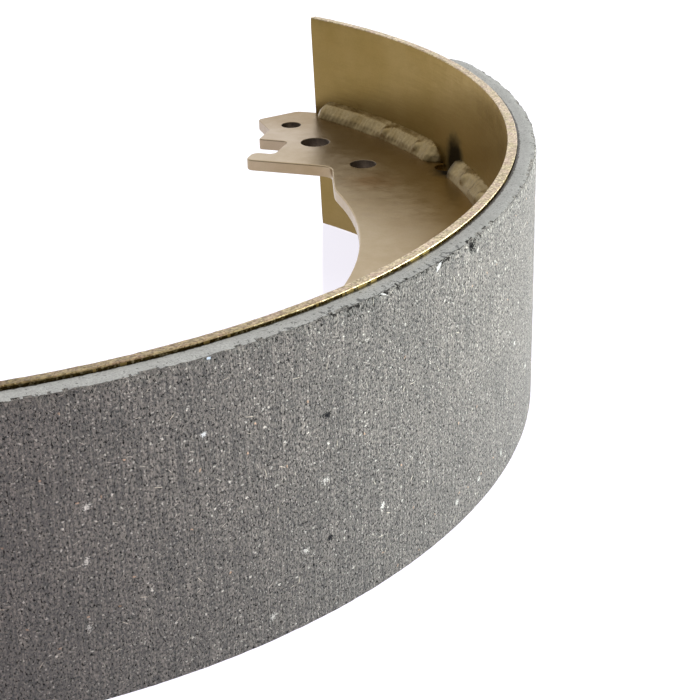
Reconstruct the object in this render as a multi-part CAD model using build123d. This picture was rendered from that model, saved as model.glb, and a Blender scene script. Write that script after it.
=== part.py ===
from build123d import *

import os
from math import atan2, cos, degrees, radians, sin, sqrt, tan

# Welded drum brake shoe with a bonded lining. Lengths are in millimetres, angles in degrees.
# The origin is the middle of the friction face. +X points outwards, at the drum, +Z runs along
# the drum's axis, and the toe end is on the +Y side. Each piece is drawn round the drum's axis
# and moved to the origin at the end.

# Lining
FRICTION_RADIUS = 125.0
LINING_THICKNESS = 3.6
LINING_WIDTH = 50.8
LINING_TOE_ANGLE = 42.0
LINING_HEEL_ANGLE = 60.0
LINING_EDGE_BREAK = 0.4
LEAD_IN_LENGTH = 5.0
LEAD_IN_DEPTH = 2.4

# Rim, the curved strip that the lining is bonded to
RIM_THICKNESS = 2.0
RIM_WIDTH = 52.2
RIM_HALF_ARC = 65.0
RIM_EDGE_BREAK = 0.4
TOE_END_LEAN = 2.3

# Web, the flat plate that stands edge-on inside the rim
WEB_THICKNESS = 2.6
WEB_OFFSET = 1.4
WEB_DEPTH = 28.5

# Toe end of the web, measured from the inner corner of the rim's end
TOE_FLAT = 4.9
TOE_CORNER_RADIUS = 2.6
PRONG_REACH = 12.0
PRONG_DROP = 8.7
PRONG_LENGTH = 16.4
PRONG_TIP_RADIUS = 1.2
CONTACT_SETBACK = 6.4
SLOT_DROP = 23.6
SLOT_WIDTH = 9.6
SLOT_DEPTH = 7.4
SLOT_MOUTH_RADIUS = 0.8
SLOT_CORNER_RADIUS = 1.4
FINGER_WIDTH = 5.5
FINGER_SETBACK = 2.3
FINGER_TIP_RADIUS = 1.8
THROAT_RISE = 5.7
THROAT_RADIUS = 3.5
THROAT_RUN = 8.8
THROAT_BLEND_RADIUS = 14.0

# Heel end of the web
HEEL_CORNER_RADIUS = 5.0
HEEL_INNER_RADIUS = 3.0

# Holes through the web: centre's distance inside the rim's bore, angle back from the nearer end
# of the rim (the hold-down hole is in the middle of the arc), diameter
HOLD_DOWN_INSET = 14.4
HOLD_DOWN_DIAMETER = 9.0
STRUT_SPRING_INSET = 16.0
STRUT_SPRING_SETBACK = 20.2
STRUT_SPRING_DIAMETER = 5.6
PIVOT_INSET = 16.2
PIVOT_SETBACK = 9.1
PIVOT_DIAMETER = 6.4
TOE_SPRING_INSET = 11.3
TOE_SPRING_SETBACK = 1.3
TOE_SPRING_DIAMETER = 4.4
HEEL_SPRING_INSET = 13.4
HEEL_SPRING_SETBACK = 6.0
HEEL_SPRING_DIAMETER = 6.0

# Fillet welds in both corners between web and rim, parted by relief notches in the web
WELD_COUNT = 5
WELD_PITCH_ANGLE = 26.2
WELD_GAP_LENGTH = 7.1
WELD_LEG_WEB = 3.4
WELD_LEG_RIM = 3.8
WELD_CROWN_HEIGHT = 0.5
WELD_SHOULDER_SHARE = 0.28
WELD_END_SETBACK = 1.7
NOTCH_RADIUS = 2.3
NOTCH_CENTRE_INSET = 0.7

# How far a cutting shape runs past what it cuts
CUT_MARGIN = 1.0

# Radii and levels that follow from the sizes above
rim_outer_radius = FRICTION_RADIUS - LINING_THICKNESS
rim_inner_radius = rim_outer_radius - RIM_THICKNESS
web_inner_radius = rim_inner_radius - WEB_DEPTH
web_top = WEB_OFFSET + WEB_THICKNESS / 2
web_bottom = WEB_OFFSET - WEB_THICKNESS / 2


def polar(radius, angle):
    """Point in plan at an angle in degrees from +X."""
    return (radius * cos(radians(angle)), radius * sin(radians(angle)))


def arc_angle(length):
    """Angle in degrees that a length takes up along the rim's bore."""
    return degrees(length / rim_inner_radius)


def arc_sweep(section, start, end):
    """Sweep a section drawn in the XZ plane round the drum's axis, from one angle to another."""
    return Rot(0, 0, start) * revolve(section, Axis.Z, end - start)


def strip_section(inner, thickness, width):
    """Upright rectangle that stands at a distance from the drum's axis."""
    return Pos(inner + thickness / 2, 0) * Rectangle(thickness, width)


def shoe_rim():
    """Rolled strip with its four long edges broken. Its toe end is sheared slightly out of square."""
    outline = strip_section(rim_inner_radius, RIM_THICKNESS, RIM_WIDTH)
    section = Plane.XZ * chamfer(outline.vertices(), RIM_EDGE_BREAK)
    spare_angle = arc_angle(CUT_MARGIN + RIM_WIDTH / 2 * tan(radians(TOE_END_LEAN)))
    strip = arc_sweep(section, -RIM_HALF_ARC, RIM_HALF_ARC + spare_angle)
    reach = 2 * RIM_WIDTH
    shear_tool = Pos(rim_inner_radius, reach / 2, 0) * Box(RIM_WIDTH, reach, 2 * reach)
    lean = Rotation(-TOE_END_LEAN, 0, 0)
    return strip - Rot(0, 0, RIM_HALF_ARC) * lean * shear_tool


def lead_in(angle, direction):
    """Wedge that bevels one end of the lining, so that the drum's edge can't catch on it."""
    run = LEAD_IN_LENGTH + CUT_MARGIN
    low = FRICTION_RADIUS - LEAD_IN_DEPTH
    slope_end = low + LEAD_IN_DEPTH * run / LEAD_IN_LENGTH
    high = slope_end + CUT_MARGIN
    back, front = -direction * run, direction * CUT_MARGIN
    wedge = Polyline((low, 0), (slope_end, back), (high, back), (high, front), (low, front), close=True)
    return Rot(0, 0, angle) * extrude(make_face(wedge), LINING_WIDTH, both=True)


def friction_lining():
    """Moulded friction strip, ground to the drum's radius, with both ends bevelled."""
    outline = strip_section(rim_outer_radius, LINING_THICKNESS, LINING_WIDTH)
    outer_corners = outline.vertices().sort_by(Axis.X)[-2:]
    section = Plane.XZ * chamfer(outer_corners, LINING_EDGE_BREAK)
    strip = arc_sweep(section, -LINING_HEEL_ANGLE, LINING_TOE_ANGLE)
    return strip - lead_in(LINING_TOE_ANGLE, 1) - lead_in(-LINING_HEEL_ANGLE, -1)


def web_outline():
    """Plan of the web: hooked and slotted toe, plain heel, and edges that follow the rim."""
    end_x, end_y = polar(rim_inner_radius, RIM_HALF_ARC)
    contact_x = end_x - CONTACT_SETBACK
    slot_high = end_y - SLOT_DROP
    slot_low = slot_high - SLOT_WIDTH
    slot_bottom = contact_x + SLOT_DEPTH
    finger_low = slot_low - FINGER_WIDTH
    finger_tip = contact_x + FINGER_SETBACK
    throat_x = sqrt((web_inner_radius + THROAT_RISE) ** 2 - finger_low**2)
    throat_angle = degrees(atan2(finger_low, throat_x))
    blend_angle = throat_angle - THROAT_RUN
    heel_y = -sqrt(web_inner_radius**2 - contact_x**2)
    heel_angle = degrees(atan2(heel_y, contact_x))

    toe_corner = (end_x - TOE_FLAT, end_y)
    prong_tip = (end_x - PRONG_REACH, end_y - PRONG_DROP)
    prong_root = (contact_x, end_y - PRONG_LENGTH)
    mouths = [(contact_x, slot_high), (finger_tip, slot_low)]
    slot_corners = [(slot_bottom, slot_high), (slot_bottom, slot_low)]
    finger_corner = (finger_tip, finger_low)
    throat = (throat_x, finger_low)
    blend = polar(web_inner_radius, blend_angle)
    heel_inner = (contact_x, heel_y)
    heel_corner = (contact_x, -end_y)

    toe = Polyline((end_x, end_y), toe_corner, prong_tip, prong_root, mouths[0], *slot_corners,
                   mouths[1], finger_corner, throat, blend)
    inner = CenterArc((0, 0), web_inner_radius, blend_angle, heel_angle - blend_angle)
    heel = Polyline(heel_inner, heel_corner, (end_x, -end_y))
    outer = CenterArc((0, 0), rim_inner_radius, -RIM_HALF_ARC, 2 * RIM_HALF_ARC)
    plan = make_face(toe + inner + heel + outer)

    roundings = [
        (TOE_CORNER_RADIUS, [toe_corner]),
        (PRONG_TIP_RADIUS, [prong_tip]),
        (SLOT_MOUTH_RADIUS, [mouths[0]]),
        (SLOT_CORNER_RADIUS, slot_corners),
        (FINGER_TIP_RADIUS, [mouths[1], finger_corner]),
        (THROAT_RADIUS, [throat]),
        (THROAT_BLEND_RADIUS, [blend]),
        (HEEL_CORNER_RADIUS, [heel_corner]),
        (HEEL_INNER_RADIUS, [heel_inner]),
    ]
    for radius, places in roundings:
        corners = [plan.vertices().sort_by_distance(Vector(*place))[0] for place in places]
        plan = fillet(corners, radius)
    return plan


def notch_angles():
    """Middles of the gaps between neighbouring welds."""
    first = -WELD_PITCH_ANGLE * (WELD_COUNT - 2) / 2
    return [first + WELD_PITCH_ANGLE * step for step in range(WELD_COUNT - 1)]


def shoe_web():
    """Blanked plate with its spring, pivot and hold-down holes and its weld relief notches."""
    plan = web_outline()
    holes = [
        (HOLD_DOWN_INSET, 0, HOLD_DOWN_DIAMETER),
        (STRUT_SPRING_INSET, RIM_HALF_ARC - STRUT_SPRING_SETBACK, STRUT_SPRING_DIAMETER),
        (PIVOT_INSET, RIM_HALF_ARC - PIVOT_SETBACK, PIVOT_DIAMETER),
        (TOE_SPRING_INSET, RIM_HALF_ARC - TOE_SPRING_SETBACK, TOE_SPRING_DIAMETER),
        (HEEL_SPRING_INSET, HEEL_SPRING_SETBACK - RIM_HALF_ARC, HEEL_SPRING_DIAMETER),
    ]
    for inset, angle, diameter in holes:
        plan -= Pos(*polar(rim_inner_radius - inset, angle)) * Circle(diameter / 2)
    for angle in notch_angles():
        plan -= Pos(*polar(rim_inner_radius - NOTCH_CENTRE_INSET, angle)) * Circle(NOTCH_RADIUS)
    return Pos(0, 0, web_bottom) * extrude(plan, WEB_THICKNESS)


def weld_section(level, up):
    """Fillet weld section, its crown drawn as three flats, between one face of the web and the rim."""
    slant = sqrt(WELD_LEG_WEB**2 + WELD_LEG_RIM**2)
    bulge_in = WELD_CROWN_HEIGHT * WELD_LEG_RIM / slant
    bulge_out = WELD_CROWN_HEIGHT * WELD_LEG_WEB / slant
    foot = (rim_inner_radius - WELD_LEG_WEB, level)
    corner = (rim_inner_radius, level)
    top = (rim_inner_radius, level + up * WELD_LEG_RIM)
    crown = [
        (rim_inner_radius - WELD_LEG_WEB * (1 - share) - bulge_in,
         level + up * (WELD_LEG_RIM * share + bulge_out))
        for share in (WELD_SHOULDER_SHARE, 1 - WELD_SHOULDER_SHARE)
    ]
    return Plane.XZ * make_face(Polyline(corner, foot, *crown, top, close=True))


def weld_bead(level, up, start, end):
    """Fillet weld run between two angles, with a rounded end at each side."""
    section = weld_section(level, up)
    cap_span = arc_angle(WELD_LEG_WEB)
    run = arc_sweep(section, start + cap_span, end - cap_span)
    wall_line = Axis((rim_inner_radius, 0, 0), (0, 0, 1))
    bore = Cylinder(rim_inner_radius, 2 * RIM_WIDTH)
    for angle, turn in ((start + cap_span, 90), (end - cap_span, -90)):
        cap = revolve(section, wall_line, turn)
        run += Rot(0, 0, angle) * (cap & bore)
    return run


def weld_spans():
    """Start and end angle of each weld run, heel to toe."""
    edge = RIM_HALF_ARC - arc_angle(WELD_END_SETBACK)
    half_gap = arc_angle(WELD_GAP_LENGTH) / 2
    starts = [-edge] + [angle + half_gap for angle in notch_angles()]
    ends = [angle - half_gap for angle in notch_angles()] + [edge]
    return list(zip(starts, ends))


def main():
    os.makedirs("parts", exist_ok=True)
    pieces = {"shoe_rim": shoe_rim(), "friction_lining": friction_lining(), "shoe_web": shoe_web()}
    for number, (start, end) in enumerate(weld_spans(), 1):
        pieces[f"upper_weld_{number}"] = weld_bead(web_top, 1, start, end)
        pieces[f"lower_weld_{number}"] = weld_bead(web_bottom, -1, start, end)
    for name, piece in pieces.items():
        placed = Pos(-FRICTION_RADIUS, 0, 0) * piece
        placed.label = name
        export_step(placed, f"parts/{name}.step")
        print(name, round(placed.volume), "mm3")


main()
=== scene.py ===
# %% [markdown]
# # A drum brake shoe
# The shoe is a curved steel rim, a flat web welded inside it, and a grey friction lining bonded
# to its outside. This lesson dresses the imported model: it gives each piece its finish, and
# builds a finer rim, web, lining and welds over the plain solids.

# %% Load the plain model
import math
import random

import bmesh
import bpy
from mathutils import Matrix, Quaternion, Vector


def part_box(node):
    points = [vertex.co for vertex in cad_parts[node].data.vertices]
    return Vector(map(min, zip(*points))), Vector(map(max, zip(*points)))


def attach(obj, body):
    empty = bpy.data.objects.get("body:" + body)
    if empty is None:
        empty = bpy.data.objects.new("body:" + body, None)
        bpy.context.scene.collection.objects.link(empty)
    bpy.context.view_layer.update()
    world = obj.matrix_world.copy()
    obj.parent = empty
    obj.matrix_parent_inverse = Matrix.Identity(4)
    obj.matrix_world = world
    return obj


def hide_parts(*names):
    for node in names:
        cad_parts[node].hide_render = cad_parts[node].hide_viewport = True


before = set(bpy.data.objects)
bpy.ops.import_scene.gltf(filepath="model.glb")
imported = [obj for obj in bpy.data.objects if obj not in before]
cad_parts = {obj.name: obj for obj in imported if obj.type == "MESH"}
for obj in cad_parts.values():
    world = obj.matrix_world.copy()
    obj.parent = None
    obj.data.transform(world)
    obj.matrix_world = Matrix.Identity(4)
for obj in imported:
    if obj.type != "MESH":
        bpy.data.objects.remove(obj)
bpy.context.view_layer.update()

# %% [markdown]
# ## Sizes
# Every size is in metres, and the drum's axis runs along Z, 125 mm behind the middle of the
# friction face. The radii and levels are those of the solids, so the finer pieces land on them.

# %% Sizes of the shoe
MM = 0.001
FRICTION_RADIUS = 125 * MM
RIM_OUTER = 121.4 * MM
RIM_INNER = 119.4 * MM
DRUM_AXIS = Vector((-FRICTION_RADIUS, 0, 0))
LINING_HALF = 25.4 * MM
RIM_HALF = 26.1 * MM
RIM_END = math.radians(65)
LINING_TOE = math.radians(42)
LINING_HEEL = math.radians(-60)


def at_drum(radius, angle, height=0.0):
    """Point at a distance and an angle round the drum's axis."""
    return DRUM_AXIS + Vector((radius * math.cos(angle), radius * math.sin(angle), height))


print("rim's bore is", round(2 * RIM_INNER / MM, 1), "mm across")

# %% [markdown]
# ## The table and the light
# The shoe stands on its lower rim edge on a white, slightly glossy light table. The table glows
# a little, so it stays white under the shoe. The light is a soft tent, bright behind the shoe
# and dim on the side where the camera stands. A world whose strength follows the direction
# gives that with no visible lamps.

# %% Light table
TABLE_SIZE = 6
TABLE_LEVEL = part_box("shoe_rim")[0].z

bpy.ops.object.select_all(action="DESELECT")
bpy.ops.mesh.primitive_plane_add(size=TABLE_SIZE, location=(0, 0, TABLE_LEVEL))
table = bpy.context.object
table.name = "light_table"
bpy.ops.object.transform_apply(location=True, rotation=True, scale=True)
print("light table lies at", round(TABLE_LEVEL / MM, 1), "mm")

# %% Glow of the table
GLOW_START, GLOW_END = -30 * MM, 80 * MM
GLOW_NEAR, GLOW_FAR = 1.02, 0.84

table_white = bpy.data.materials.new("table_white")
table_white.use_nodes = True
table_shader = table_white.node_tree.nodes["Principled BSDF"]
table_shader.inputs["Base Color"].default_value = (0.18, 0.178, 0.185, 1)
table_shader.inputs["Roughness"].default_value = 0.08
table_shader.inputs["Emission Color"].default_value = (0.972, 0.952, 1.05, 1)
table_nodes = table_white.node_tree.nodes
table_links = table_white.node_tree.links
table_place = table_nodes.new("ShaderNodeTexCoord")
across = table_nodes.new("ShaderNodeSeparateXYZ")
glow = table_nodes.new("ShaderNodeMapRange")
glow.inputs["From Min"].default_value = GLOW_START
glow.inputs["From Max"].default_value = GLOW_END
glow.inputs["To Min"].default_value = GLOW_NEAR
glow.inputs["To Max"].default_value = GLOW_FAR
table_links.new(table_place.outputs["Object"], across.inputs[0])
table_links.new(across.outputs["Y"], glow.inputs["Value"])
table_links.new(glow.outputs["Result"], table_shader.inputs["Emission Strength"])
table.data.materials.append(table_white)
print("the glow falls from", GLOW_NEAR, "to", GLOW_FAR, "behind the shoe")

# %% Light tent
BRIGHT_SIDE = Vector((0.15, 0.85, 0.50)).normalized()
DIM, BRIGHT = 0.12, 1.40
DIM_FACING = -0.85

tent = bpy.data.worlds.new("light_tent")
tent.use_nodes = True
bpy.context.scene.world = tent
sky = tent.node_tree
direction = sky.nodes.new("ShaderNodeTexCoord")
facing = sky.nodes.new("ShaderNodeVectorMath")
facing.operation = "DOT_PRODUCT"
facing.inputs[1].default_value = BRIGHT_SIDE
strength = sky.nodes.new("ShaderNodeMapRange")
strength.interpolation_type = "SMOOTHSTEP"
strength.inputs["From Min"].default_value = DIM_FACING
strength.inputs["From Max"].default_value = 1.0
strength.inputs["To Min"].default_value = DIM
strength.inputs["To Max"].default_value = BRIGHT
sky.links.new(direction.outputs["Generated"], facing.inputs[0])
sky.links.new(facing.outputs["Value"], strength.inputs["Value"])
sky.links.new(strength.outputs["Result"], sky.nodes["Background"].inputs["Strength"])
sky.nodes["Background"].inputs["Color"].default_value = (0.985, 0.985, 1, 1)
print("tent is up to", round(BRIGHT / DIM, 1), "times brighter behind than in front")

# %% Soft box on the right
BOX_ANGLE, BOX_RISE, BOX_AWAY = math.radians(35), math.radians(18), 0.95
BOX_WIDTH, BOX_HEIGHT, BOX_POWER = 0.8, 0.5, 16

box_side = Vector((math.cos(BOX_ANGLE) * math.cos(BOX_RISE),
                   math.sin(BOX_ANGLE) * math.cos(BOX_RISE), math.sin(BOX_RISE)))
bpy.ops.object.light_add(type="AREA", location=box_side * BOX_AWAY)
soft_box = bpy.context.object
soft_box.name = "soft_box"
soft_box.data.shape = "RECTANGLE"
soft_box.data.size = BOX_WIDTH
soft_box.data.size_y = BOX_HEIGHT
soft_box.data.energy = BOX_POWER
soft_box.data.color = (0.90, 1.0, 0.93)
soft_box.rotation_euler = (-box_side).to_track_quat("-Z", "Y").to_euler()
print("soft box stands", BOX_AWAY, "m away")

# %% [markdown]
# ## The camera
# A close view from the front left, looking down by about 24 degrees. The camera is turned by
# a degree about its own line of sight, as a hand-held one would be.

# %% Camera
EYE = Vector((59.58, -279.93, 125.55)) * MM
SIGHT = Vector((-0.28268, 0.86504, -0.41449))
CAMERA_ROLL = math.radians(-1.3164)
LENS = 89.15

bpy.ops.object.camera_add(location=EYE)
camera = bpy.context.object
camera.name = "studio_camera"
camera.rotation_euler = (SIGHT.to_track_quat("-Z", "Y")
                         @ Quaternion((0, 0, 1), CAMERA_ROLL)).to_euler()
camera.data.sensor_fit = "HORIZONTAL"
camera.data.sensor_width = 36
camera.data.lens = LENS
camera.data.clip_start = 0.01
bpy.context.scene.camera = camera
bpy.context.scene.view_settings.view_transform = "Standard"
from_lining = (EYE - at_drum(FRICTION_RADIUS, 0)).length
print("camera is", round(from_lining / MM), "mm from the lining's middle")

# %% [markdown]
# ## Helpers for materials
# A finish is a small network of nodes. The helpers add a node with its values and links in one
# line, so each recipe below reads from top to bottom.


# %% Material helpers
def new_finish(name):
    """New material with its node tree and its main shader."""
    material = bpy.data.materials.new(name)
    material.use_nodes = True
    tree = material.node_tree
    return material, tree, tree.nodes["Principled BSDF"]


def node(tree, kind, values, **settings):
    """Add one node. A value is a number, a colour, a vector or another node's socket."""
    new = tree.nodes.new("ShaderNode" + kind)
    for key, setting in settings.items():
        setattr(new, key, setting)
    for key, value in values.items():
        if isinstance(value, bpy.types.NodeSocket):
            tree.links.new(value, new.inputs[key])
        else:
            new.inputs[key].default_value = value
    return new


def noise(tree, place, scale, detail=3.0, roughness=0.5, distortion=0.0):
    """Soft random pattern. Scale is the number of patches in a metre."""
    values = {"Vector": place, "Scale": scale, "Detail": detail, "Roughness": roughness,
              "Distortion": distortion}
    return node(tree, "TexNoise", values).outputs["Fac"]


def ramp(tree, value, low, high, out_low=0.0, out_high=1.0):
    """Value spread from one range to another, and clamped."""
    values = {"Value": value, "From Min": low, "From Max": high, "To Min": out_low,
              "To Max": out_high}
    return node(tree, "MapRange", values).outputs["Result"]


def arithmetic(tree, operation, first, second):
    """One sum on two values."""
    return node(tree, "Math", {0: first, 1: second}, operation=operation).outputs[0]


def mixed(tree, share, first, second, how="MIX"):
    """Blend of two colours."""
    values = {0: share, 6: first, 7: second}
    return node(tree, "Mix", values, data_type="RGBA", blend_type=how).outputs[2]


def mixed_value(tree, share, first, second):
    """Blend of two plain values."""
    return node(tree, "Mix", {0: share, 2: first, 3: second}, data_type="FLOAT").outputs[0]


def grey(tree, value):
    """Colour with the same value in all three channels."""
    return node(tree, "CombineColor", {0: value, 1: value, 2: value}).outputs[0]


def stretched(tree, place, scale):
    """Place scaled by a different number along each axis."""
    return node(tree, "VectorMath", {0: place, 1: scale}, operation="MULTIPLY").outputs[0]


def bumped(tree, shader, height, depth, strength=1.0, after=None):
    """Height map of a given depth in metres. Returns the new normal."""
    values = {"Height": height, "Distance": depth, "Strength": strength}
    if after is not None:
        values["Normal"] = after
    bump = node(tree, "Bump", values).outputs["Normal"]
    tree.links.new(bump, shader.inputs["Normal"])
    return bump


# %% [markdown]
# ## Plated steel
# Rim and web are mild steel with yellow zinc plating: a thin passivated skin that runs from
# olive through straw to tan, with a faint purple and green play of colour. Over the plating lie
# fine rolling lines and a satin grain. It is a metal shader whose colour is mixed from a slow
# noise, a fine noise and a few cells of sparkle. Welding leaves scorched spots at the gaps
# between the beads. They are painted near black, as heat marks and as painted shade in those gaps.
# The web turns brown beside the rim, a heat tint that is also painted shade in the corner. The
# rim's slit edge is painted darker towards the heel, and its narrow outer face above the lining
# is painted almost black. Both are painted shade. The roughness has a floor: on smoother plate,
# the denoised render drew squiggles that are not there.

# %% Marks and painted shade on the plate
STAIN_PLACE = Vector((-46.3, 62.2, 2.7)) * MM
STAIN_EDGE, STAIN_CORE, STAIN_TEAR = 7 * MM, 2 * MM, 4 * MM
# Spots at the gaps between the beads, both heat marks and painted shade: angle in degrees, size
SCORCH_AND_SHADE_SPOTS = ((-39.0, 0.55), (-13.4, 0.75), (12.8, 0.60), (37.7, 1.0))
SCORCH_SHADE_RADIUS = 118.9 * MM
SCORCH_SHADE_LIFT = 3.5 * MM
SCORCH_SHADE_EDGE, SCORCH_SHADE_CORE, SCORCH_SHADE_TEAR = 6.0 * MM, 2.8 * MM, 1.4 * MM
WEB_MIDDLE = 1.4 * MM
TINT_START, TINT_FULL, TINT_WAVE = 101 * MM, 115 * MM, 3 * MM


def scorch_and_gap_shade(tree, place):
    """Mask of the dark spots at the gaps between the welds: heat marks and painted shade."""
    parts = node(tree, "SeparateXYZ", {0: place}).outputs
    from_web = node(tree, "Math", {0: arithmetic(tree, "SUBTRACT", parts["Z"], WEB_MIDDLE)},
                    operation="ABSOLUTE").outputs[0]
    level = arithmetic(tree, "MULTIPLY", arithmetic(tree, "SUBTRACT", from_web, SCORCH_SHADE_LIFT), 0.8)
    folded = node(tree, "CombineXYZ", {0: parts["X"], 1: parts["Y"], 2: level}).outputs[0]
    nearest = None
    for angle, size in SCORCH_AND_SHADE_SPOTS:
        spot = {0: folded, 1: at_drum(SCORCH_SHADE_RADIUS, math.radians(angle))}
        away = node(tree, "VectorMath", spot, operation="DISTANCE").outputs["Value"]
        away = arithmetic(tree, "DIVIDE", away, size)
        nearest = away if nearest is None else arithmetic(tree, "MINIMUM", nearest, away)
    torn = ramp(tree, noise(tree, place, 450, 4), 0, 1, -SCORCH_SHADE_TEAR, SCORCH_SHADE_TEAR)
    return ramp(tree, arithmetic(tree, "ADD", nearest, torn), SCORCH_SHADE_EDGE, SCORCH_SHADE_CORE)


def heat_tint_and_corner_shade(tree, place):
    """Mask of the brown band on the web beside the rim: the welding heat's tint and painted shade
    in the corner.
    """
    from_axis = node(tree, "VectorMath", {0: place, 1: DRUM_AXIS}, operation="SUBTRACT").outputs[0]
    flat = stretched(tree, from_axis, (1, 1, 0))
    distance = node(tree, "VectorMath", {0: flat}, operation="LENGTH").outputs["Value"]
    wave = ramp(tree, noise(tree, place, 60, 2), 0, 1, -TINT_WAVE, TINT_WAVE)
    return ramp(tree, arithmetic(tree, "ADD", distance, wave), TINT_START, TINT_FULL)


def stained(tree, place, colour):
    """Colour with the brown stain beside a hole, and the heat tint and painted shade beside the
    rim.
    """
    away = node(tree, "VectorMath", {0: place, 1: STAIN_PLACE}, operation="DISTANCE")
    torn = ramp(tree, noise(tree, place, 330, 4), 0, 1, -STAIN_TEAR, STAIN_TEAR)
    ragged = arithmetic(tree, "ADD", away.outputs["Value"], torn)
    rust = ramp(tree, ragged, STAIN_EDGE, STAIN_CORE, 0.0, 0.65)
    colour = mixed(tree, rust, colour, (0.26, 0.140, 0.045, 1))
    # Browner and darker beside the rim: heat tint, and painted shade in the corner.
    browned_and_shaded = mixed(tree, 1.0, colour, (0.62, 0.50, 0.22, 1), "MULTIPLY")
    return mixed(tree, heat_tint_and_corner_shade(tree, place), colour, browned_and_shaded)


def end_tinted(tree, place, colour, heel_painted_shade, toe_tint):
    """Colour that changes towards the shoe's two ends. The darkening at the heel is painted shade.
    """
    along = node(tree, "SeparateXYZ", {0: place}).outputs["Y"]
    near_heel = ramp(tree, along, -100 * MM, -35 * MM)
    tint = mixed(tree, near_heel, (*heel_painted_shade, 1), (1, 1, 1, 1))
    tint = mixed(tree, ramp(tree, along, 62 * MM, 90 * MM), tint, (*toe_tint, 1))
    return mixed(tree, 1.0, colour, tint, "MULTIPLY")


# %% Finish of the plated steel
SMOOTHEST, ROUGHEST = 0.285, 0.40


def plated_finish(name, low, high, grain_along, sparkle, edge=(1, 1, 1, 1), rainbow=0.1,
                  flecked=0.15, tooth=0.008 * MM, marked=False, heel_painted_shade=(1, 1, 1),
                  toe_tint=(1, 1, 1)):
    """Yellow zinc plate over rolled steel, between a low and a high colour."""
    material, tree, shader = new_finish(name)
    place = node(tree, "TexCoord", {}).outputs["Object"]
    slow = noise(tree, place, 55, 2)
    patchy = noise(tree, place, 420, 5, 0.6, 0.6)
    fine = noise(tree, place, 2600, 3, 0.6)
    colour = mixed(tree, ramp(tree, slow, 0.35, 0.65), low, high)
    violet, green = (1.12, 0.92, 1.25, 1), (0.90, 1.06, 0.70, 1)
    play = mixed(tree, ramp(tree, patchy, 0.40, 0.60), violet, green)
    colour = mixed(tree, rainbow, colour, mixed(tree, 1.0, colour, play, "MULTIPLY"))
    shade = (1 - 0.7 * flecked, 1 - 0.75 * flecked, 1 - 0.85 * flecked, 1)
    dark = mixed(tree, 1.0, colour, shade, "MULTIPLY")
    colour = mixed(tree, ramp(tree, fine, 0.40, 0.62), colour, dark)
    cells = node(tree, "TexVoronoi", {"Vector": place, "Scale": 3200.0})
    glint = ramp(tree, cells.outputs["Color"], 0.55, 0.95, 0.0, sparkle)
    colour = mixed(tree, glint, colour, (0.85, 0.72, 0.45, 1))
    grain = noise(tree, stretched(tree, place, grain_along), 1.0, 4, 0.6)
    if marked:
        colour = stained(tree, place, colour)
    colour = end_tinted(tree, place, colour, heel_painted_shade, toe_tint)
    burnt_and_shaded = scorch_and_gap_shade(tree, place)
    # The gaps between the beads are painted near black: heat marks and painted shade.
    colour = mixed(tree, burnt_and_shaded, colour, (0.020, 0.013, 0.006, 1))
    tree.links.new(colour, shader.inputs["Base Color"])
    shader.inputs["Metallic"].default_value = 1.0
    shader.inputs["Specular Tint"].default_value = edge
    uneven = arithmetic(tree, "ADD", grain, patchy)
    rough = ramp(tree, uneven, 0.7, 1.3, SMOOTHEST, ROUGHEST)
    tree.links.new(mixed_value(tree, burnt_and_shaded, rough, 0.75), shader.inputs["Roughness"])
    first = bumped(tree, shader, grain, 0.02 * MM)
    bumped(tree, shader, fine, tooth, 1.0, first)
    print(name, "has", len(tree.nodes), "nodes")
    return material


web_plate = plated_finish("web_plate", (0.348, 0.258, 0.142, 1), (0.409, 0.321, 0.200, 1),
                          (300, 300, 300), 0.0, flecked=0.05, rainbow=0.03, tooth=0.002 * MM,
                          marked=True, toe_tint=(1.0, 1.02, 1.17))
rim_plate = plated_finish("rim_plate", (0.230, 0.158, 0.048, 1), (0.270, 0.192, 0.070, 1),
                          (120, 120, 2500), 0.0, edge=(1.0, 0.92, 0.74, 1), flecked=0.06,
                          rainbow=0.03, tooth=0.002 * MM)
# The slit edge is painted darker and browner towards the heel: painted shade.
rim_edge = plated_finish("rim_edge", (0.480, 0.375, 0.245, 1), (0.600, 0.490, 0.355, 1),
                         (900, 900, 900), 0.80, rainbow=0.35, flecked=0.85, tooth=0.04 * MM,
                         heel_painted_shade=(0.38, 0.33, 0.21))
# The rim's narrow outer face above the lining is painted almost black: painted shade of that step.
rim_back_painted_shade = plated_finish("rim_back_painted_shade", (0.030, 0.019, 0.004, 1), (0.065, 0.046, 0.012, 1),
                         (500, 500, 500), 0.20, edge=(0.35, 0.28, 0.12, 1), flecked=0.8,
                         tooth=0.04 * MM)

# %% [markdown]
# ## Choosing what to work on
# An operator acts on whatever is selected. The helpers deselect everything, start a fresh
# object, and pick faces or edges by where they are.


# %% Modelling helpers
SAME_POINT = 0.002 * MM
TOUCHING = 0.01 * MM


def clear_selection():
    """Leave object mode with nothing selected."""
    if bpy.context.object and bpy.context.object.mode != "OBJECT":
        bpy.ops.object.mode_set(mode="OBJECT")
    bpy.ops.object.select_all(action="DESELECT")


def pick(part, kind, test):
    """In edit mode, select the vertices, edges or faces whose middle passes the test."""
    bpy.ops.mesh.select_mode(type=kind)
    bpy.ops.mesh.select_all(action="DESELECT")
    work = bmesh.from_edit_mesh(part.data)
    found = 0
    for item in {"VERT": work.verts, "EDGE": work.edges, "FACE": work.faces}[kind]:
        if kind == "VERT":
            middle = item.co
        elif kind == "EDGE":
            middle = (item.verts[0].co + item.verts[1].co) / 2
        else:
            middle = item.calc_center_median()
        if test(middle):
            item.select = True
            found += 1
    work.select_flush_mode()
    bmesh.update_edit_mesh(part.data)
    return found


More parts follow.
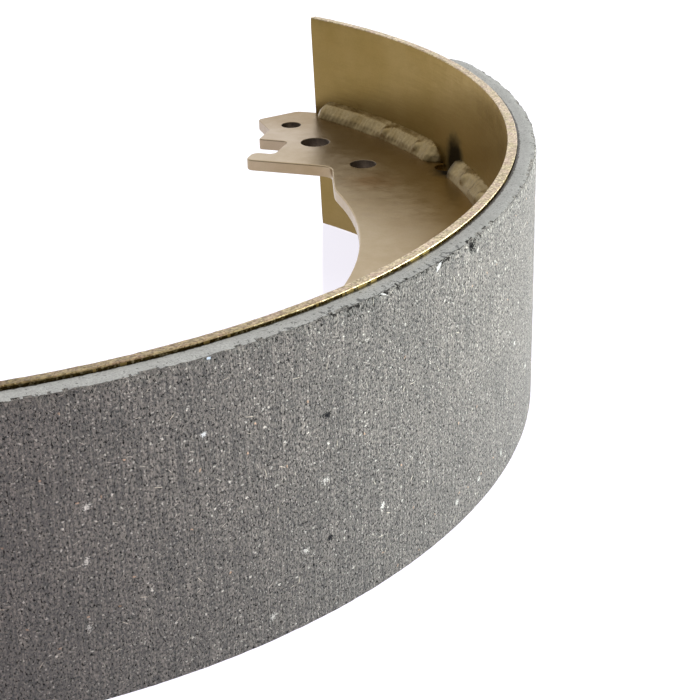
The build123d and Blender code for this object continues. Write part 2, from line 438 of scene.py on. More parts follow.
def finish_shape(part, angle=35):
    """Point all faces outwards and shade the shallow edges smooth."""
    if bpy.context.object.mode != "EDIT":
        bpy.ops.object.mode_set(mode="EDIT")
    bpy.ops.mesh.select_all(action="SELECT")
    bpy.ops.mesh.remove_doubles(threshold=SAME_POINT)
    bpy.ops.mesh.normals_make_consistent(inside=False)
    bpy.ops.object.mode_set(mode="OBJECT")
    bpy.ops.object.shade_smooth_by_angle(angle=math.radians(angle))
    print(part.name, "has", len(part.data.polygons), "faces")


def join_body(part, slot_name, *nodes):
    """Fix the piece to the shoe and let it stand for the plain nodes, which it hides. The slot
    name is not used.
    """
    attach(part, "root")
    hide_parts(*nodes)


def standing_section(name, inner, outer, half_height):
    """Flat upright rectangle in edit mode, on the +X side of the drum's axis."""
    clear_selection()
    bpy.ops.mesh.primitive_plane_add(size=1, location=at_drum((inner + outer) / 2, 0),
                                     rotation=(math.radians(90), 0, 0))
    part = bpy.context.object
    part.name = name
    part.scale = (outer - inner, 2 * half_height, 1)
    bpy.ops.object.transform_apply(location=True, rotation=True, scale=True)
    bpy.ops.object.mode_set(mode="EDIT")
    return part


def sweep_section(part, start, end, steps):
    """Turn the section to its start angle and spin it round the drum's axis.

    Seen from above, the spin operator takes a clockwise turn as positive.
    """
    bpy.ops.object.mode_set(mode="OBJECT")
    turn = Matrix.Rotation(start, 4, "Z")
    part.data.transform(Matrix.Translation(DRUM_AXIS) @ turn @ Matrix.Translation(-DRUM_AXIS))
    bpy.ops.object.mode_set(mode="EDIT")
    bpy.ops.mesh.select_all(action="SELECT")
    bpy.ops.mesh.spin(steps=steps, angle=start - end, center=DRUM_AXIS, axis=(0, 0, 1))


# %% [markdown]
# ## The rim
# The rim is a strip 52 mm wide, rolled into an arc. Its edges are slit, so they are slightly
# round and rough. A rectangle with four rounded corners is spun round the drum's axis. The
# narrow faces are divided finely first, so that a noise can roughen them.

# %% Rim: spin the rounded strip
RIM_ROUNDING = 0.28 * MM
TOE_LEAN = math.radians(2.3)
SPARE = math.radians(1)
CUT_FINENESS = 0.001 * MM
EDGE_CUTS, WIDTH_CUTS, RIM_STEPS = 4, 24, 560

rim = standing_section("rim", RIM_INNER, RIM_OUTER, RIM_HALF)
bpy.ops.mesh.select_all(action="SELECT")
bpy.ops.mesh.bevel(offset=RIM_ROUNDING, segments=4, affect="VERTICES")
pick(rim, "EDGE", lambda m: abs(m.z) > RIM_HALF - TOUCHING)
bpy.ops.mesh.subdivide(number_cuts=EDGE_CUTS)
pick(rim, "EDGE", lambda m: abs(m.z) < 1 * MM)
bpy.ops.mesh.subdivide(number_cuts=WIDTH_CUTS)
sweep_section(rim, -RIM_END, RIM_END + SPARE, RIM_STEPS)
end_point = at_drum(RIM_INNER, RIM_END)
end_turn = Matrix.Rotation(RIM_END, 3, "Z") @ Matrix.Rotation(-TOE_LEAN, 3, "X")
end_normal = end_turn @ Vector((0, 1, 0))
bpy.ops.mesh.select_all(action="SELECT")
bpy.ops.mesh.bisect(plane_co=end_point, plane_no=end_normal, use_fill=True, clear_outer=True,
                    threshold=CUT_FINENESS)
finish_shape(rim)


# %% Roughness in a chosen zone
def zone(part, name, weight):
    """Vertex group whose weight follows the place of each vertex."""
    group = part.vertex_groups.new(name=name)
    caught = 0
    for vertex in part.data.vertices:
        share = weight(vertex.co)
        if share > 0:
            group.add([vertex.index], min(share, 1.0), "REPLACE")
            caught += 1
    print(part.name, "has", caught, "vertices in its zone", name)


def roughen(part, zone_name, kind, size, depth, middle=1.0, **settings):
    """Push the surface in and out by a procedural pattern of a given size and depth."""
    pattern = bpy.data.textures.new(part.name + "_" + zone_name, kind)
    pattern.noise_scale = size
    for key, setting in settings.items():
        setattr(pattern, key, setting)
    clear_selection()
    part.select_set(True)
    bpy.context.view_layer.objects.active = part
    push = part.modifiers.new("roughen", "DISPLACE")
    push.texture = pattern
    push.texture_coords = "LOCAL"
    push.strength = depth
    push.mid_level = middle
    push.vertex_group = zone_name
    bpy.ops.object.modifier_apply(modifier=push.name)


def reach(co):
    """Distance from the drum's axis."""
    return math.hypot(co.x - DRUM_AXIS.x, co.y)


def paint_faces(part, finishes, choose):
    """Give the piece its finishes, and each face the number of the one that it takes."""
    part.data.materials.clear()
    for finish in finishes:
        part.data.materials.append(finish)
    for face in part.data.polygons:
        face.material_index = choose(face.center, face.normal)
    taken = [face.material_index for face in part.data.polygons]
    for number, finish in enumerate(finishes):
        print(part.name, "has", taken.count(number), "faces of", finish.name)


# %% Rim: rough edges and three finishes
SLIT_DEPTH, SLIT_FADE = 0.6 * MM, 0.3 * MM
EDGE_PAINT, BACK_PAINT = 0.35 * MM, 0.06 * MM


def rim_finish(place, normal):
    """Number of the finish: 2, painted shade, on the outside, 1 on the slit edges, 0 on the rest.
    """
    if reach(place) > RIM_OUTER - BACK_PAINT:
        return 2
    return 1 if abs(place.z) > RIM_HALF - EDGE_PAINT else 0


zone(rim, "slit", lambda co: (abs(co.z) - RIM_HALF + SLIT_DEPTH) / SLIT_FADE)
roughen(rim, "slit", "CLOUDS", 0.7 * MM, 0.11 * MM, noise_depth=2)
roughen(rim, "slit", "CLOUDS", 9 * MM, 0.10 * MM)
paint_faces(rim, [rim_plate, rim_edge, rim_back_painted_shade], rim_finish)
join_body(rim, "plated_steel", "shoe_rim")

# %% [markdown]
# ## The friction lining
# The lining is a moulded composite: dark resin and graphite, pale mineral grains and short
# chopped fibres. Its outside is ground to the drum's radius, which leaves it open and grainy,
# while its sides keep the smooth grey skin of the mould. The section is spun as the rim is,
# then both ends are cut to their lead-in bevels. The ground face is divided finely, so that
# grain, crumbled corners and a chip can be dug into it later.

# %% Lining: spin and bevel the ends
LEAD_IN = 5 * MM
LEAD_DEPTH = 2.4 * MM
CORNER_BREAK = 0.4 * MM
FACE_CUTS, SIDE_CUTS, BACK_CUTS, LINING_STEPS = 125, 5, 3, 540

lining = standing_section("lining", RIM_OUTER, FRICTION_RADIUS, LINING_HALF)
pick(lining, "VERT", lambda m: m.x > -1 * MM)
bpy.ops.mesh.bevel(offset=CORNER_BREAK, segments=3, affect="VERTICES")
pick(lining, "EDGE", lambda m: m.x > -TOUCHING)
bpy.ops.mesh.subdivide(number_cuts=FACE_CUTS)
pick(lining, "EDGE", lambda m: abs(m.z) > LINING_HALF - TOUCHING)
bpy.ops.mesh.subdivide(number_cuts=SIDE_CUTS)
pick(lining, "EDGE", lambda m: abs(m.x + FRICTION_RADIUS - RIM_OUTER) < TOUCHING)
bpy.ops.mesh.subdivide(number_cuts=BACK_CUTS)
sweep_section(lining, LINING_HEEL, LINING_TOE, LINING_STEPS)
for end, side in ((LINING_TOE, 1), (LINING_HEEL, -1)):
    across = Matrix.Rotation(end, 3, "Z") @ Vector((LEAD_IN, side * LEAD_DEPTH, 0)).normalized()
    bpy.ops.mesh.select_all(action="SELECT")
    bpy.ops.mesh.bisect(plane_co=at_drum(FRICTION_RADIUS - LEAD_DEPTH, end), plane_no=across,
                        use_fill=True, clear_outer=True, threshold=CUT_FINENESS)
finish_shape(lining)

# %% [markdown]
# ## Ground friction material
# Close up, the ground face is a dark matrix full of pale mineral grains, open pits, short white
# and straw-coloured fibres that lie every way, a few cream specks and, here and there, a grain
# of orange. Faint straight marks run across the width, where the grinding wheel passed. The
# pattern follows the surface, so the piece gets its own flat map: millimetres along the arc
# and across the width. A fibre or crumb is an ellipse with a torn outline in a cell of a Voronoi
# pattern, turned by a random angle that the cell's own colour supplies.


# %% Flat map for the lining
def wrap_map(part, name):
    """Flat map in millimetres: along the arc at the drum's radius, and across the width."""
    layer = part.data.uv_layers.new(name=name)
    spots = []
    for corner in part.data.loops:
        co = part.data.vertices[corner.vertex_index].co
        angle = math.atan2(co.y, co.x - DRUM_AXIS.x)
        depth = (FRICTION_RADIUS - reach(co)) / MM
        spots.extend((FRICTION_RADIUS * angle / MM, co.z / MM + math.copysign(depth, co.z)))
    layer.data.foreach_set("uv", spots)


wrap_map(lining, "wrap")
print("flat map spans", round(FRICTION_RADIUS * (LINING_TOE - LINING_HEEL) / MM), "mm of arc")


# %% Fibres and grains as masks
def ragged_size(tree, flat, size, amount):
    """Ellipse size with a torn outline."""
    torn = ramp(tree, noise(tree, flat, 4.5, 2), 0.3, 0.7, -amount, amount)
    return arithmetic(tree, "ADD", size, torn)


def flecks(tree, flat, cell, length, width, share, shift, torn=0.3):
    """Mask of scattered ellipses, one to a cell at most. Sizes are in millimetres."""
    place = node(tree, "VectorMath", {0: flat, 1: (1 / cell,) * 3, 2: (shift, shift, 0)},
                 operation="MULTIPLY_ADD").outputs[0]
    cells = node(tree, "TexVoronoi", {"Vector": place, "Scale": 1.0}, voronoi_dimensions="2D")
    away = node(tree, "VectorMath", {0: place, 1: cells.outputs["Position"]},
                operation="SUBTRACT").outputs[0]
    parts = node(tree, "SeparateColor", {"Color": cells.outputs["Color"]}).outputs
    angle = arithmetic(tree, "MULTIPLY", parts["Red"], math.tau)
    turned = node(tree, "VectorRotate", {"Vector": away, "Angle": angle},
                  rotation_type="Z_AXIS").outputs[0]
    scaled = stretched(tree, turned, (2 * cell / length, 2 * cell / width, 0))
    size = node(tree, "VectorMath", {0: scaled}, operation="LENGTH").outputs["Value"]
    inside = ramp(tree, ragged_size(tree, flat, size, torn), 1.0, 0.6)
    chosen = arithmetic(tree, "LESS_THAN", parts["Green"], share)
    return arithmetic(tree, "MULTIPLY", inside, chosen)


def one_fleck(tree, flat, middle, length, width, turn, torn):
    """Mask of one ellipse at a chosen place. Sizes are in millimetres, the turn in degrees."""
    away = node(tree, "VectorMath", {0: flat, 1: (*middle, 0)}, operation="SUBTRACT").outputs[0]
    turned = node(tree, "VectorRotate", {"Vector": away, "Angle": math.radians(-turn)},
                  rotation_type="Z_AXIS").outputs[0]
    scaled = stretched(tree, turned, (2 / length, 2 / width, 0))
    size = node(tree, "VectorMath", {0: scaled}, operation="LENGTH").outputs["Value"]
    return ramp(tree, ragged_size(tree, flat, size, torn), 1.0, 0.6)


# %% [markdown]
# The mix goes from the matrix to what lies in it. The matrix is a mosaic of small angular
# grains, each with its own grey, under a fine noise. Open pits come next, then crumbs, fibres
# and the odd orange grain. Last come a few marks that this shoe alone has: a chip and a tuft at
# the upper corner, a white fibre that hangs over it, and some dark blotches. The upper corner
# has crumbled in places. Painted shade makes the face darker at its lower edge and at the heel,
# where its colour is also warmer, and painted light makes it lighter towards the middle of the
# arc.

# %% Marks, crumbs and fibres
CHIP = (-24.7, 24.2)
WORST_CORNER = -46
# Each mark: middle, length, width, turn, how torn, colour
SINGLE_MARKS = [
    (CHIP, 2.6, 2.2, 40, 0.8, (0.010, 0.010, 0.011, 1)),
    ((-22.9, 22.9), 1.3, 0.7, 60, 0.6, (0.60, 0.56, 0.52, 1)),
    ((-36.0, 24.6), 2.2, 0.7, 38, 0.35, (0.86, 0.86, 0.86, 1)),
    ((-50.9, 25.0), 2.9, 0.26, -25, 0.2, (0.84, 0.83, 0.80, 1)),
    ((-63.5, 9.4), 1.5, 1.2, 0, 0.7, (0.018, 0.018, 0.021, 1)),
    ((-63.7, -11.7), 1.4, 1.2, 0, 0.7, (0.018, 0.018, 0.021, 1)),
    ((-85.5, 13.5), 1.0, 0.8, 20, 0.5, (0.74, 0.74, 0.74, 1)),
    ((-86.4, 8.1), 0.65, 0.36, 70, 0.3, (0.52, 0.34, 0.21, 1)),
    ((-83.8, 24.9), 0.8, 0.6, 0, 0.3, (0.70, 0.80, 0.95, 1)),
]
# Each kind: cell, length, width, share of the cells, shift of the pattern, how torn, colour
CRUMBS_AND_FIBRES = [
    (0.55, 0.36, 0.24, 0.12, 11.3, 0.5, (0.42, 0.40, 0.37, 1)),
    (1.10, 0.46, 0.34, 0.07, 17.9, 0.6, (0.54, 0.52, 0.48, 1)),
    (1.90, 1.10, 0.14, 0.10, 23.1, 0.2, (0.50, 0.46, 0.40, 1)),
    (3.40, 1.60, 0.15, 0.12, 31.9, 0.2, (0.64, 0.58, 0.48, 1)),
    (3.40, 0.55, 0.40, 0.09, 47.7, 0.6, (0.74, 0.71, 0.66, 1)),
    (9.50, 1.20, 0.80, 0.16, 41.3, 1.1, (0.66, 0.65, 0.62, 1)),
    (4.60, 0.60, 0.34, 0.14, 59.3, 0.4, (0.50, 0.33, 0.22, 1)),
]
print(len(CRUMBS_AND_FIBRES), "kinds of grain,", len(SINGLE_MARKS), "single marks")


# %% Grain, crumbled corner, tone and painted shade
def mineral_grain(tree, flat, along):
    """Small angular grains, each with its own grey, under a fine noise."""
    pieces = {"Vector": stretched(tree, flat, (4.2, 2.7, 0)), "Scale": 1.0}
    mosaic = node(tree, "TexVoronoi", pieces, voronoi_dimensions="2D").outputs["Color"]
    own_grey = node(tree, "SeparateColor", {"Color": mosaic}).outputs["Red"]
    fine = ramp(tree, noise(tree, along, 3.6, 2, 0.8), 0.38, 0.62)
    return arithmetic(tree, "ADD", arithmetic(tree, "MULTIPLY", own_grey, 0.45),
                      arithmetic(tree, "MULTIPLY", fine, 0.55))


def crumbled_edge(tree, flat, round_arc, height):
    """Mask of the crumbled upper corner, worst at one place of the arc."""
    worst_by = node(tree, "Math", {0: arithmetic(tree, "SUBTRACT", round_arc, WORST_CORNER)},
                    operation="ABSOLUTE").outputs[0]
    limit = arithmetic(tree, "ADD", ramp(tree, height, 23.2, 25.2, 0.78, 0.61),
                       ramp(tree, worst_by, 12, 36, -0.11, 0.0))
    over = arithmetic(tree, "SUBTRACT", noise(tree, flat, 0.9, 3, 0.7), limit)
    return ramp(tree, over, 0.0, 0.03, 0.0, 0.9)


def ground_tone_and_painted_light(tree, flat, round_arc, height):
    """Light and dark over the whole face: its own patches and straight marks, and broad painted
    shade and light that follow the height and the arc.
    """
    broad = noise(tree, flat, 0.09, 4, 0.6)
    scratches = noise(tree, stretched(tree, flat, (2.6, 0.06, 0)), 1.0, 2, 0.7)
    tone = arithmetic(tree, "MULTIPLY", ramp(tree, broad, 0.3, 0.7, 0.84, 1.16),
                      ramp(tree, scratches, 0.38, 0.62, 0.66, 1.30))
    # Painted shade low on the face and at the heel end, painted light high on the face and towards
    # the middle of the arc.
    painted_light_slopes = ((height, -25, 2, 0.755, 0.995), (height, 2, 25, 1.0, 1.03),
              (round_arc, -115, -85, 0.94, 1.03), (round_arc, -60, -12, 1.0, 1.15))
    for value, low, high, dim, full in painted_light_slopes:
        tone = arithmetic(tree, "MULTIPLY", tone, ramp(tree, value, low, high, dim, full))
    return grey(tree, tone)


# %% Finish of the ground face
BLACK = 0.05


def ground_finish():
    """Ground face of the friction composite."""
    material, tree, shader = new_finish("ground_composite")
    flat = node(tree, "UVMap", {}, uv_map="wrap").outputs["UV"]
    along = stretched(tree, flat, (1.0, 0.60, 0))
    round_arc, height = (node(tree, "SeparateXYZ", {0: flat}).outputs[axis] for axis in "XY")
    grain = mineral_grain(tree, flat, along)
    soot, stone = (0.013, 0.011, 0.010, 1), (0.266, 0.240, 0.214, 1)
    colour = mixed(tree, ramp(tree, grain, 0.12, 0.92), soot, stone)
    pits = ramp(tree, noise(tree, along, 2.7, 3, 0.75), 0.435, 0.405)
    colour = mixed(tree, pits, colour, (0.010, 0.009, 0.009, 1))
    raised = grain
    for cell, length, width, share, shift, torn, shade in CRUMBS_AND_FIBRES:
        mask = flecks(tree, flat, cell, length, width, share, shift, torn)
        colour = mixed(tree, mask, colour, shade)
        raised = arithmetic(tree, "ADD", raised, arithmetic(tree, "MULTIPLY", mask, 0.5))
    crumbled = crumbled_edge(tree, flat, round_arc, height)
    colour = mixed(tree, crumbled, colour, (0.014, 0.013, 0.013, 1))
    hollow = arithmetic(tree, "MAXIMUM", arithmetic(tree, "MULTIPLY", pits, 0.8), crumbled)
    tone = ground_tone_and_painted_light(tree, flat, round_arc, height)
    colour = mixed(tree, 1.0, colour, tone, "MULTIPLY")
    # Towards the heel the face turns warmer in colour and darker. The darkening is painted shade.
    browner_and_shaded, neutral = (0.68, 0.595, 0.555, 1), (1.02, 1.015, 0.995, 1)
    warm_and_shaded = mixed(tree, ramp(tree, round_arc, -125, -55), browner_and_shaded, neutral)
    colour = mixed(tree, 1.0, colour, warm_and_shaded, "MULTIPLY")
    for middle, length, width, turn, torn, shade in SINGLE_MARKS:
        mask = one_fleck(tree, flat, middle, length, width, turn, torn)
        colour = mixed(tree, mask, colour, shade)
        if max(shade[:3]) < BLACK:
            hollow = arithmetic(tree, "MAXIMUM", hollow, mask)
    tree.links.new(colour, shader.inputs["Base Color"])
    tree.links.new(mixed_value(tree, hollow, 0.55, 0.95), shader.inputs["Roughness"])
    tree.links.new(mixed_value(tree, hollow, 0.78, 0.03), shader.inputs["Specular IOR Level"])
    bumped(tree, shader, arithmetic(tree, "SUBTRACT", raised, pits), 0.09 * MM)
    print("ground composite has", len(tree.nodes), "nodes")
    return material


ground_composite = ground_finish()

# %% [markdown]
# ## Skin of the lining
# The sides of the lining keep the grey skin of the mould, finer and paler than the ground face.
# The adhesive was pressed out as a dark line beside the rim, and the crumbled corner reaches
# over the edge. The noise could follow the flat map here too. It reads the place inside the
# piece instead, as if the skin were cut from a solid block, because it has no direction.

# %% Crumbled corner and adhesive line on the skin
ADHESIVE_WAVE = 0.16 * MM
ADHESIVE_START, ADHESIVE_END = RIM_OUTER + 0.30 * MM, RIM_OUTER + 0.18 * MM
ADHESIVE_SPREAD = 0.20 * MM


def crumbled_skin(tree, place, distance):
    """Mask of the crumbled corner where it reaches over on to the skin."""
    worst_place = at_drum(FRICTION_RADIUS, WORST_CORNER * MM / FRICTION_RADIUS, LINING_HALF)
    worst_by = node(tree, "VectorMath", {0: place, 1: worst_place}, operation="DISTANCE")
    near_face = ramp(tree, distance, FRICTION_RADIUS - 2.4 * MM, FRICTION_RADIUS - 0.4 * MM,
                     0.72, 0.59)
    near_worst = ramp(tree, worst_by.outputs["Value"], 12 * MM, 36 * MM, -0.09, 0.0)
    over = arithmetic(tree, "SUBTRACT", noise(tree, place, 900, 3, 0.7),
                      arithmetic(tree, "ADD", near_face, near_worst))
    return ramp(tree, over, 0.0, 0.03, 0.0, 0.85)


def adhesive_line(tree, place, distance, along):
    """Mask of the adhesive, a line with a wavy edge that is wider towards the toe."""
    wave = ramp(tree, noise(tree, place, 900, 3, 0.7), 0.3, 0.7, -ADHESIVE_WAVE, ADHESIVE_WAVE)
    spread = ramp(tree, along, -72 * MM, -42 * MM, 0.0, ADHESIVE_SPREAD)
    line = arithmetic(tree, "SUBTRACT", arithmetic(tree, "ADD", distance, wave), spread)
    return ramp(tree, line, ADHESIVE_START, ADHESIVE_END)


# %% Finish of the skin
def skin_finish():
    """Moulded grey skin on the lining's sides."""
    material, tree, shader = new_finish("moulded_skin")
    place = node(tree, "TexCoord", {}).outputs["Object"]
    along = node(tree, "SeparateXYZ", {0: place}).outputs["Y"]
    from_axis = node(tree, "VectorMath", {0: place, 1: DRUM_AXIS}, operation="SUBTRACT").outputs[0]
    flat = stretched(tree, from_axis, (1, 1, 0))
    distance = node(tree, "VectorMath", {0: flat}, operation="LENGTH").outputs["Value"]
    fine = noise(tree, place, 3400, 3, 0.8)
    patchy = noise(tree, place, 160, 4, 0.6)
    dark, light = (0.195, 0.193, 0.188, 1), (0.410, 0.408, 0.400, 1)
    colour = mixed(tree, ramp(tree, fine, 0.34, 0.66), dark, light)
    patches = ramp(tree, patchy, 0.35, 0.65, 0.0, 0.5)
    colour = mixed(tree, patches, colour, (0.285, 0.285, 0.280, 1))
    pits = ramp(tree, noise(tree, place, 1500, 3, 0.7), 0.375, 0.335, 0.0, 0.85)
    colour = mixed(tree, pits, colour, (0.050, 0.048, 0.045, 1))
    colour = mixed(tree, crumbled_skin(tree, place, distance), colour, (0.026, 0.025, 0.025, 1))
    adhesive = adhesive_line(tree, place, distance, along)
    colour = mixed(tree, adhesive, colour, (0.022, 0.015, 0.006, 1))
    # The skin is painted lighter at the heel and darker towards the toe: painted light and painted
    # shade.
    heel_painted_light, toe_painted_shade = (1.10, 1.07, 1.04, 1), (0.81, 0.79, 0.76, 1)
    painted_light_and_shade = mixed(tree, ramp(tree, along, -85 * MM, -35 * MM), heel_painted_light, toe_painted_shade)
    colour = mixed(tree, 1.0, colour, painted_light_and_shade, "MULTIPLY")
    tree.links.new(colour, shader.inputs["Base Color"])
    tree.links.new(ramp(tree, patchy, 0.3, 0.7, 0.42, 0.58), shader.inputs["Roughness"])
    bumped(tree, shader, arithmetic(tree, "SUBTRACT", fine, pits), 0.05 * MM)
    print("moulded skin has", len(tree.nodes), "nodes")
    return material


moulded_skin = skin_finish()

# %% [markdown]
# ## The worn shape of the lining
# The grain, the crumbled corner and the chip show in the outline too. A bump in the material
# would leave the outline straight, so they are dug into the mesh. A weight on each vertex says
# how deep a noise may dig there: all over the ground face, along its two long corners and round
# the chip. The upper corner is the crumbled one, and the lower one is almost sound.

# %% Lining: dig the grain, the crumbled corner and the chip
SOUND_CORNER = 0.12
FACE_DEPTH = 0.05 * MM
CORNER_DEPTH, CORNER_FADE = 1.3 * MM, 0.8 * MM
CHIP_RADIUS = 1.2 * MM
SKIN_START, SKIN_SIDE = 0.42 * MM, 0.2 * MM


def corner_weight(co):
    """Share of the digging at a long corner."""
    from_corner = min((reach(co) - FRICTION_RADIUS + CORNER_DEPTH) / CORNER_FADE,
                      (abs(co.z) - LINING_HALF + CORNER_DEPTH) / CORNER_FADE)
    return (1 if co.z > 0 else SOUND_CORNER) * from_corner


def lining_finish(place, normal):
    """Number of the finish: 1 for the skin on the sides, 0 for ground material."""
    on_side = abs(place.z) > LINING_HALF - SKIN_SIDE
    return 1 if on_side and reach(place) < FRICTION_RADIUS - SKIN_START else 0


zone(lining, "face", lambda co: (reach(co) - FRICTION_RADIUS + FACE_DEPTH) / FACE_DEPTH)
roughen(lining, "face", "CLOUDS", 1.2 * MM, 0.05 * MM, noise_depth=3)
roughen(lining, "face", "STUCCI", 1.6 * MM, 0.06 * MM)
zone(lining, "corner", corner_weight)
roughen(lining, "corner", "CLOUDS", 1.8 * MM, 0.45 * MM, noise_depth=3, contrast=1.6)
chip_place = at_drum(FRICTION_RADIUS, CHIP[0] * MM / FRICTION_RADIUS, CHIP[1] * MM)
zone(lining, "chip", lambda co: 1.5 - (co - chip_place).length / CHIP_RADIUS)
roughen(lining, "chip", "CLOUDS", 1.5 * MM, 0.8 * MM, noise_depth=2)
paint_faces(lining, [ground_composite, moulded_skin], lining_finish)
join_body(lining, "friction_material", "friction_lining")

# %% [markdown]
# ## The web
# The web is a blanked plate. The punch leaves a soft rolled edge all round it and round its
# holes. The solid's own mesh has the right outline, so the border of its upper face, holes and
# all, is kept as a flat curve. The curve is filled, thickened and rounded, then turned back into
# a mesh. A bevel on the mesh itself would leave cracks where its long flat faces meet. The
# walls of the holes take a finish of their own, a dark dull brown that is painted shade.

# %% Painted shade inside the holes
def hole_shade_finish():
    """Dark, dull brown on the walls of the holes: painted shade."""
    material, tree, shader = new_finish("hole_painted_shade")
    place = node(tree, "TexCoord", {}).outputs["Object"]
    patchy = noise(tree, place, 700, 4, 0.6)
    dark, light = (0.060, 0.042, 0.028, 1), (0.115, 0.085, 0.055, 1)
    colour = mixed(tree, ramp(tree, patchy, 0.35, 0.65), dark, light)
    tree.links.new(colour, shader.inputs["Base Color"])
    shader.inputs["Metallic"].default_value = 0.7
    shader.inputs["Roughness"].default_value = 0.55
    bumped(tree, shader, patchy, 0.05 * MM)
    print("finish inside the holes has", len(tree.nodes), "nodes")
    return material


hole_painted_shade = hole_shade_finish()

# %% Copy of a plain solid
SOLID_GAP = 0.001 * MM


def copy_node(name, new_name):
    """Editable copy of a plain solid, merged into one closed mesh."""
    clear_selection()
    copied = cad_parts[name].copy()
    copied.data = copied.data.copy()
    copied.name = new_name
    for key in list(copied.keys()):
        del copied[key]
    copied.parent = None
    bpy.context.scene.collection.objects.link(copied)
    copied.select_set(True)
    bpy.context.view_layer.objects.active = copied
    bpy.ops.object.mode_set(mode="EDIT")
    bpy.ops.mesh.select_all(action="SELECT")
    bpy.ops.mesh.remove_doubles(threshold=SOLID_GAP)
    bpy.ops.object.mode_set(mode="OBJECT")
    print(name, "copied as", len(copied.data.polygons), "faces")
    return copied


# %% Web: outline, thickness and rolled edge
WEB_HALF = 1.3 * MM
WEB_ROUNDING = 0.3 * MM

web = copy_node("shoe_web", "web")
bpy.ops.object.mode_set(mode="EDIT")
pick(web, "FACE", lambda m: m.z > WEB_MIDDLE + WEB_HALF - TOUCHING)
bpy.ops.mesh.region_to_loop()
bpy.ops.mesh.select_all(action="INVERT")
bpy.ops.mesh.delete(type="EDGE")
bpy.ops.mesh.delete_loose(use_verts=True, use_edges=False, use_faces=False)
bpy.ops.object.mode_set(mode="OBJECT")
print("outline of the web has", len(web.data.edges), "edges")
bpy.ops.object.convert(target="CURVE")
plate = bpy.context.object.data
plate.dimensions = "2D"
plate.fill_mode = "BOTH"
plate.extrude = WEB_HALF - WEB_ROUNDING
plate.bevel_depth = WEB_ROUNDING
plate.bevel_resolution = 3
plate.offset = -WEB_ROUNDING
bpy.ops.object.convert(target="MESH")
web = bpy.context.object
web.location.z = WEB_MIDDLE
bpy.ops.object.transform_apply(location=True, rotation=True, scale=True)
finish_shape(web)
even_out = web.modifiers.new("even_out", "WEIGHTED_NORMAL")
even_out.keep_sharp = True
bpy.ops.object.modifier_apply(modifier=even_out.name)


# %% Web: finish on the plate and inside the holes
HOLES = [(105.0 * MM, 0, 9.0 * MM), (103.4 * MM, 44.8, 5.6 * MM), (103.2 * MM, 55.9, 6.4 * MM),
         (108.1 * MM, 63.7, 4.4 * MM), (106.0 * MM, -59.0, 6.0 * MM)]
BESIDE_HOLE = 0.3 * MM
FACES_UP = 0.9


def web_finish(place, normal):
    """Number of the finish: 1 inside a hole, 0 on the plate."""
    for radius, angle, size in HOLES:
        from_middle = (place - at_drum(radius, math.radians(angle), place.z)).length
        if from_middle < size / 2 + BESIDE_HOLE and abs(normal.z) < FACES_UP:
            return 1
    return 0


paint_faces(web, [web_plate, hole_painted_shade], web_finish)
join_body(web, "plated_steel", "shoe_web")

# %% [markdown]
# ## The welds
# Ten short fillet welds hold the web in the rim. A real bead melts into both plates, is lumpy
# and rippled, and has a round nub where the arc paused. The plain bead is copied, its two flat
# sides are pushed a little into the plates, and the nubs are joined to it. A remesh turns them
# into one closed skin of small faces, a coarse and a fine noise make its crown uneven, and low
# bowed ripples are raised on it. Each copy keeps its own place, so no two beads are alike.


# %% Finish of the welds
def bead_finish():
    """Plated weld metal, greyer and duller than the plate."""
    material, tree, shader = new_finish("bead_metal")
    place = node(tree, "TexCoord", {}).outputs["Object"]
    patchy = noise(tree, place, 300, 4, 0.6)
    fine = noise(tree, place, 1800, 3, 0.6)
    dark, light = (0.230, 0.166, 0.072, 1), (0.350, 0.270, 0.140, 1)
    colour = mixed(tree, ramp(tree, patchy, 0.35, 0.65), dark, light)
    flecked = ramp(tree, fine, 0.4, 0.75, 0.0, 0.5)
    colour = mixed(tree, flecked, colour, (0.15, 0.11, 0.052, 1))
    # Near black at the gaps between the beads: heat marks and painted shade.
    colour = mixed(tree, scorch_and_gap_shade(tree, place), colour, (0.020, 0.013, 0.006, 1))
    tree.links.new(colour, shader.inputs["Base Color"])
    shader.inputs["Metallic"].default_value = 1.0
    tree.links.new(ramp(tree, patchy, 0.3, 0.7, 0.30, 0.50), shader.inputs["Roughness"])
    bumped(tree, shader, fine, 0.03 * MM)
    print("weld metal has", len(tree.nodes), "nodes")
    return material


bead_metal = bead_finish()

# %% Welds: sink the beads and add the nubs
WELD_SINK = 0.3 * MM
FLAT_SIDE = 0.05 * MM
NUB_RADIUS, NUB_LIFT = 1.9 * MM, 1.2 * MM
NUB_ANGLES = {"upper_weld_4": 32.3, "upper_weld_5": 44.8}


def into_plates(co):
    """Place of a vertex once the bead's flat sides are pushed into the web and the rim."""
    from_web = co.z - WEB_MIDDLE
    if abs(from_web) < WEB_HALF + FLAT_SIDE:
        co.z -= math.copysign(WELD_SINK, from_web)
    out = reach(co)
    if out > RIM_INNER - FLAT_SIDE:
        grown = (out + WELD_SINK) / out
        co.x, co.y = DRUM_AXIS.x + (co.x - DRUM_AXIS.x) * grown, co.y * grown
    return co


def add_nub(bead, angle, up):
    """Join a ball to the bead where the welder paused."""
    clear_selection()
    centre = at_drum(RIM_INNER - NUB_LIFT, angle, WEB_MIDDLE + up * (WEB_HALF + NUB_LIFT))
    bpy.ops.mesh.primitive_ico_sphere_add(subdivisions=3, radius=NUB_RADIUS, location=centre)
    bead.select_set(True)
    bpy.context.view_layer.objects.active = bead
    bpy.ops.object.join()


# %% Welds: ripples
RIPPLE = 1.4 * MM
RIPPLE_HEIGHT = 0.03 * MM
RIPPLE_BOW = 0.9 * MM
UNEVEN_PACE, PACE_CHANGE = 0.4 * MM, 2.3 * MM
BEAD_WIDTH = 3.6 * MM
CROWN_FADE = 1 * MM


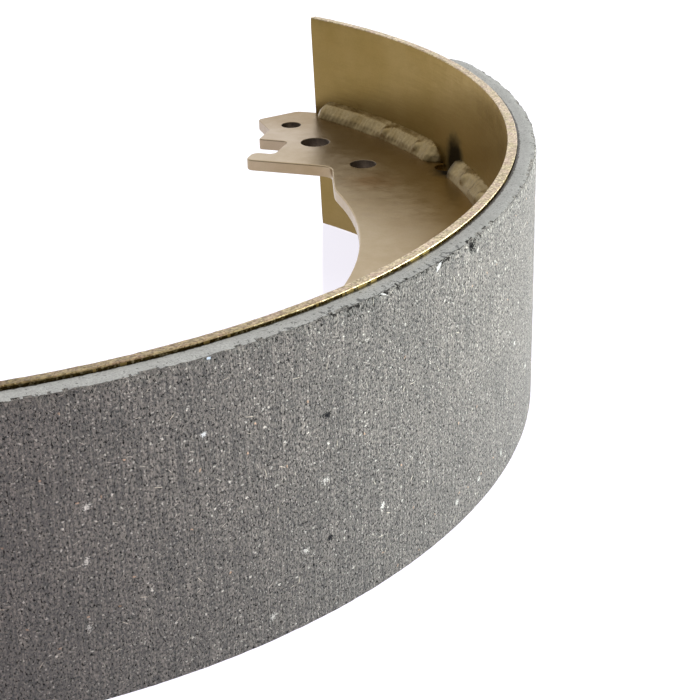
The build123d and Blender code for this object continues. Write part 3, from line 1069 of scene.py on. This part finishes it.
def add_ripples(bead):
    """Raise the bowed ripples where each drop of metal froze against the last."""
    moved = []
    for vertex in bead.data.vertices:
        from_web = abs(vertex.co.z - WEB_MIDDLE) - WEB_HALF
        from_rim = RIM_INNER - reach(vertex.co)
        along = RIM_INNER * math.atan2(vertex.co.y, vertex.co.x - DRUM_AXIS.x)
        bowed = (along - RIPPLE_BOW * ((from_web - from_rim) / BEAD_WIDTH) ** 2
                 + UNEVEN_PACE * math.sin(along / PACE_CHANGE))
        on_crown = max(0, min(from_web, from_rim, CROWN_FADE)) / CROWN_FADE
        lift = RIPPLE_HEIGHT * on_crown * math.cos(math.tau * bowed / RIPPLE)
        moved.extend(vertex.co + vertex.normal * lift)
    bead.data.vertices.foreach_set("co", moved)
    bead.data.update()


# %% Welds: one skin with lumps
BEAD_GRID = 0.32 * MM
# Degrees to either side of a bead's middle within which the welder paused, twice
PAUSES = (8, 9)


def crown_weight(co):
    """Share of the lumps at a place: none where the bead meets the web or the rim."""
    return min(abs(co.z - WEB_MIDDLE) - WEB_HALF, RIM_INNER - reach(co)) / CROWN_FADE


def close_skin(bead):
    """Turn the bead and its nubs into one closed skin of small faces."""
    even = bead.modifiers.new("even", "REMESH")
    even.mode = "VOXEL"
    even.voxel_size = BEAD_GRID
    bpy.ops.object.modifier_apply(modifier=even.name)


def middle_angle(bead):
    """Angle of the bead's middle round the drum's axis, in degrees."""
    total = sum((vertex.co for vertex in bead.data.vertices), Vector())
    middle = total / len(bead.data.vertices)
    return math.degrees(math.atan2(middle.y, middle.x - DRUM_AXIS.x))


def lay_bead(plain, name, up, chance):
    """Lumpy bead with two nubs, made from the plain one."""
    bead = copy_node(plain, name)
    angle = middle_angle(bead)
    first, second = (angle + chance.uniform(-spread, spread) for spread in PAUSES)
    for vertex in bead.data.vertices:
        vertex.co = into_plates(vertex.co.copy())
    add_nub(bead, math.radians(NUB_ANGLES.get(plain, first)), up)
    add_nub(bead, math.radians(second), up)
    close_skin(bead)
    zone(bead, "crown", crown_weight)
    roughen(bead, "crown", "CLOUDS", 4.2 * MM, 0.6 * MM, 0.5, noise_depth=0)
    roughen(bead, "crown", "CLOUDS", 1.3 * MM, 0.04 * MM, 0.5, noise_depth=1)
    add_ripples(bead)
    bpy.ops.object.shade_smooth()
    paint_faces(bead, [bead_metal], lambda place, normal: 0)
    join_body(bead, "weld_metal", plain)


# %% Welds: lay the ten beads
chance = random.Random(7)
for side, up in (("upper", 1), ("lower", -1)):
    for number in range(1, 6):
        lay_bead(f"{side}_weld_{number}", f"{side}_bead_{number}", up, chance)
print("ten beads laid")
